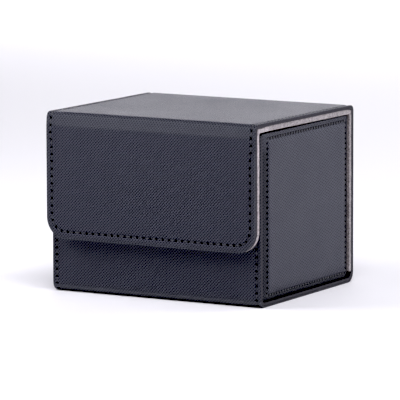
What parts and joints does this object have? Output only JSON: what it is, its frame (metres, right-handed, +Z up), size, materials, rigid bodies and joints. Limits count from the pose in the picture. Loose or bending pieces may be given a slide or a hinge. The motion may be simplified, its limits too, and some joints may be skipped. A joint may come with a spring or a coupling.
{
  "type": "card deck box",
  "caption": "Side-loading leatherette box for a deck of sleeved trading cards, with a hinged lid and a fold-down front flap held shut by hidden magnets.",
  "frame": {"origin": "bottom centre of the closed box's bounding box, on the surface it stands on", "axes": "+X along the width, to the right seen from the front; +Y from the front flap to the back; +Z up"},
  "size_m": [0.108, 0.0936, 0.082],
  "materials": {
    "leatherette": "fine diagonal embossed grain, satin",
    "board": "raw cut, matte",
    "felt_lining": "brushed felt, matte",
    "stitching_thread": "waxed polyester thread",
    "magnet": "nickel plated"
  },
  "bodies": {
    "tray": {"wrap_skin": "leatherette", "wrap_seam_left": "stitching_thread", "wrap_seam_right": "stitching_thread", "front_board": "board", "front_magnet_left": "magnet", "front_magnet_right": "magnet", "base_board": "board", "back_board": "board", "back_lining": "felt_lining", "base_lining": "felt_lining", "front_lining": "felt_lining", "left_side_skin": "leatherette", "left_side_seam": "stitching_thread", "left_side_board": "board", "left_side_lining": "felt_lining", "right_side_skin": "leatherette", "right_side_seam": "stitching_thread", "right_side_board": "board", "right_side_lining": "felt_lining", "back_fold_skin": "leatherette", "back_fold_core": "board"},
    "lid": {"front_fold_skin": "leatherette", "front_fold_core": "board", "front_fold_lining": "felt_lining", "lid_skin": "leatherette", "lid_seam_left": "stitching_thread", "lid_seam_right": "stitching_thread", "lid_board": "board", "lid_lining": "felt_lining"},
    "flap": {"flap_skin": "leatherette", "flap_seam": "stitching_thread", "flap_board": "board", "flap_magnet_left": "magnet", "flap_magnet_right": "magnet", "flap_lining": "felt_lining"}
  },
  "joints": [
    {"name": "lid_hinge", "type": "hinge", "parent": "tray", "child": "lid", "pos_m": [0, 0.04585, 0.08105], "axis": [-1, 0, 0], "range_deg": [0, 180], "deforming": ["back_fold_skin", "back_fold_core"]},
    {"name": "flap_fold", "type": "hinge", "parent": "lid", "child": "flap", "pos_m": [0, -0.04424, 0.07945], "axis": [-1, 0, 0], "range_deg": [0, 90], "deforming": ["front_fold_skin", "front_fold_core", "front_fold_lining"]}
  ]
}
